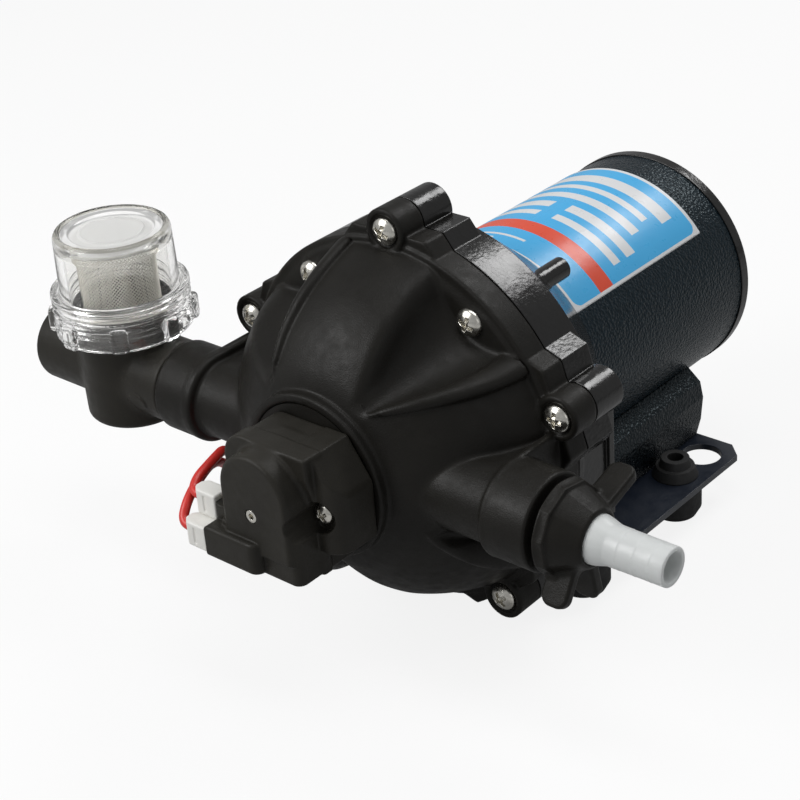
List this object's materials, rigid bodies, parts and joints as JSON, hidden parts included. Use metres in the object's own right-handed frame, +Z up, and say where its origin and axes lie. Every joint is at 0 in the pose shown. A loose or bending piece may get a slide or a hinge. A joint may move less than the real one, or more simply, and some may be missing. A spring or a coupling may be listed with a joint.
{
  "type": "diaphragm water pump",
  "caption": "Motor driven diaphragm water pump on a rubber footed base, with a clear strainer at the inlet, a hose barb with wing nut at the outlet and a pressure switch on its head.",
  "frame": {"origin": "Centre of the four foot bores, on the surface that the rubber feet stand on.", "axes": "+Z up. The motor shaft lies along Y with the pump head towards -Y. The outlet points to +X and the strainer is at -X."},
  "size_m": [0.237, 0.2002, 0.1282],
  "materials": {
    "motor_paint": "navy black hammertone paint",
    "housing_black": "smooth glossy black moulding",
    "head_black": "matte glass filled black moulding",
    "steel": "ground steel",
    "core_iron": "dark iron and ferrite",
    "copper": "copper",
    "brass": "tinned brass blades",
    "label_film": "printed film, blue with a white edge and a red stripe, no words",
    "white_plastic": "natural moulding",
    "zinc_screws": "zinc plated, slightly warm",
    "rubber": "soft black rubber",
    "connector_white": "off-white nylon",
    "red_lead": "red insulation",
    "barb_plastic": "translucent white moulding",
    "clear_plastic": "clear moulded plastic",
    "steel_mesh": "woven stainless gauze",
    "base_paint": "smooth navy paint",
    "cradle_paint": "grey blue hammertone paint"
  },
  "bodies": {
    "pump": {"motor_can": "motor_paint", "motor_end_cap": "housing_black", "front_bearing": "steel", "rear_bearing": "steel", "magnets": "core_iron", "brushes": "core_iron", "brush_springs": "steel", "brush_plate": "housing_black", "motor_label": "label_film", "drive_housing": "housing_black", "lead_grommet": "rubber", "diaphragm": "rubber", "valve_plate": "white_plastic", "inlet_valves": "rubber", "outlet_valve": "rubber", "head_seal": "rubber", "pump_head": "head_black", "ear_screws": "zinc_screws", "valley_screws": "zinc_screws", "switch_cap": "head_black", "switch_base": "head_black", "switch_screws": "zinc_screws", "switch_diaphragm": "rubber", "pressure_spring": "steel", "spring_seat": "steel", "microswitch": "head_black", "switch_terminals": "brass", "upper_connector": "connector_white", "lower_connector": "connector_white", "red_lead_upper": "red_lead", "red_lead_lower": "red_lead", "strainer_body": "head_black", "port_seal": "rubber", "base_plate": "base_paint", "cradle_left": "cradle_paint", "cradle_right": "cradle_paint", "rubber_foot_1": "rubber", "rubber_foot_2": "rubber", "rubber_foot_3": "rubber", "rubber_foot_4": "rubber"},
    "rotor": {"motor_shaft": "steel", "armature_core": "core_iron", "armature_windings": "copper", "commutator": "copper", "eccentric_hub": "steel", "wobble_bearing": "steel"},
    "wobbler": {"wobble_plate": "white_plastic", "piston_pads": "white_plastic", "piston_screws": "steel"},
    "plunger": {"switch_plunger": "white_plastic"},
    "adjuster": {"pressure_adjuster": "zinc_screws"},
    "bowl": {"strainer_bowl": "clear_plastic", "bowl_seal": "rubber", "filter_mesh": "steel_mesh", "mesh_frame": "white_plastic"},
    "ring": {"lock_ring": "clear_plastic"},
    "outlet": {"outlet_barb": "barb_plastic", "outlet_seal": "rubber"},
    "nut": {"wing_nut": "head_black"}
  },
  "joints": [
    {"name": "rotor_spin", "type": "hinge", "parent": "pump", "child": "rotor", "pos_m": [0, 0, 0.06], "axis": [0, 1, 0], "continuous": true},
    {"name": "wobble_turn", "type": "hinge", "parent": "rotor", "child": "wobbler", "pos_m": [0, -0.035, 0.06], "axis": [0, 0.9986, 0.0523], "continuous": true, "deforming": ["diaphragm"]},
    {"name": "plunger_slide", "type": "slide", "parent": "pump", "child": "plunger", "axis": [0, -1, 0], "range_m": [0, 0.0012], "stiffness_N_per_m": 2000, "deforming": ["pressure_spring"]},
    {"name": "adjuster_turn", "type": "hinge", "parent": "pump", "child": "adjuster", "pos_m": [0, -0.119, 0.06], "axis": [0, -1, 0], "range_deg": [-540, 540]},
    {"name": "bowl_lift", "type": "slide", "parent": "pump", "child": "bowl", "axis": [0, 0, 1], "range_m": [0, 0.06]},
    {"name": "ring_turn", "type": "hinge", "parent": "bowl", "child": "ring", "pos_m": [-0.0967, -0.0756, 0.08], "axis": [0, 0, 1], "range_deg": [0, 720]},
    {"name": "outlet_pull", "type": "slide", "parent": "pump", "child": "outlet", "axis": [1, 0, 0], "range_m": [0, 0.008]},
    {"name": "nut_turn", "type": "hinge", "parent": "outlet", "child": "nut", "pos_m": [0.08, -0.0756, 0.06], "axis": [1, 0, 0], "range_deg": [-1440, 0]}
  ],
  "couplings": [
    {"joint": "wobble_turn", "follows": "rotor_spin", "ratio": -1},
    {"joint": "nut_turn", "follows": "outlet_pull", "rad_per_m": -3141.6}
  ]
}
